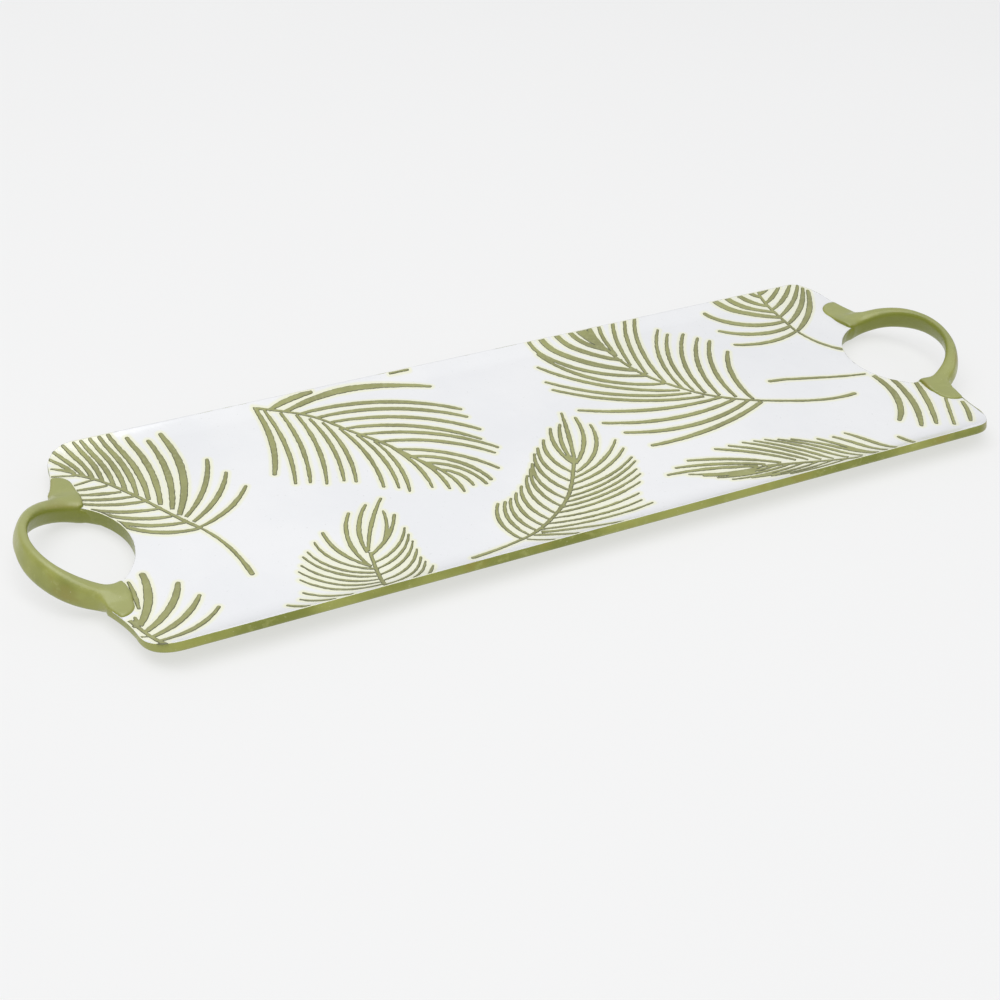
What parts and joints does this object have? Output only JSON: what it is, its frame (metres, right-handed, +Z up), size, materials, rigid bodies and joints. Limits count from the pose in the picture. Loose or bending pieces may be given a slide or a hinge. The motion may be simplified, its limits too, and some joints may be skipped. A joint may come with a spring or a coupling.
{
  "type": "two-handled serving tray",
  "caption": "Long narrow cast-metal serving tray with an enamelled top, raised palm fronds, turned-up long edges and a looped handle round a hand cut-out at each end.",
  "frame": {"origin": "on the table, under the middle of the tray", "axes": "+X along the tray towards the right handle, +Y to the rear long edge, +Z up"},
  "size_m": [0.5727, 0.187, 0.0269],
  "materials": {
    "coated_metal": "olive-green satin coating over cast metal",
    "frond_green": "sage-green coated relief, darker at its edges",
    "white_enamel": "glossy cool-white enamel",
    "screw_steel": "plain steel button-head screws",
    "pad_rubber": "soft pale grey rubber"
  },
  "bodies": {
    "root": {"tray_plate": "coated_metal", "enamel_field": "white_enamel", "palm_frond_01": "frond_green", "palm_frond_02": "frond_green", "palm_frond_03": "frond_green", "palm_frond_04": "frond_green", "palm_frond_05": "frond_green", "palm_frond_06": "frond_green", "palm_frond_07": "frond_green", "palm_frond_08": "frond_green", "palm_frond_09": "frond_green", "palm_frond_10": "frond_green", "palm_frond_11": "frond_green", "handle_left": "coated_metal", "handle_right": "coated_metal", "handle_screws": "screw_steel", "foot_pad_front_left": "pad_rubber", "foot_pad_front_right": "pad_rubber", "foot_pad_rear_left": "pad_rubber", "foot_pad_rear_right": "pad_rubber"}
  },
  "joints": []
}
